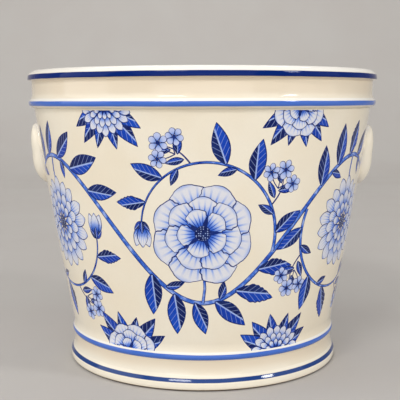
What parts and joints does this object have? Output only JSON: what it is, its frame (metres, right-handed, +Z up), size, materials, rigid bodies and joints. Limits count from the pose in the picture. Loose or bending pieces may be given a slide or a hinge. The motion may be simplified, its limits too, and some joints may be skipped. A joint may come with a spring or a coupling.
{
  "type": "cachepot",
  "caption": "Tapered glazed earthenware cachepot with a rolled lip, beaded collar, turned foot and a moulded lug handle on each side; holds a potted plant in its nursery pot.",
  "frame": {"origin": "on the table, at the middle of the foot ring", "axes": "+Z up along the pot's axis, +X through the right-hand lug handle, -Y towards the viewer"},
  "size_m": [0.204, 0.203, 0.168],
  "materials": {
    "cream_glaze": "clear glossy glaze over cream earthenware, with painted blue bands",
    "printed_glaze": "clear glossy glaze over cream earthenware with a blue floral print"
  },
  "bodies": {
    "root": {"foot_ring": "cream_glaze", "base_floor": "cream_glaze", "body_wall": "printed_glaze", "rim_collar": "cream_glaze", "left_handle": "cream_glaze", "right_handle": "cream_glaze"}
  },
  "joints": []
}
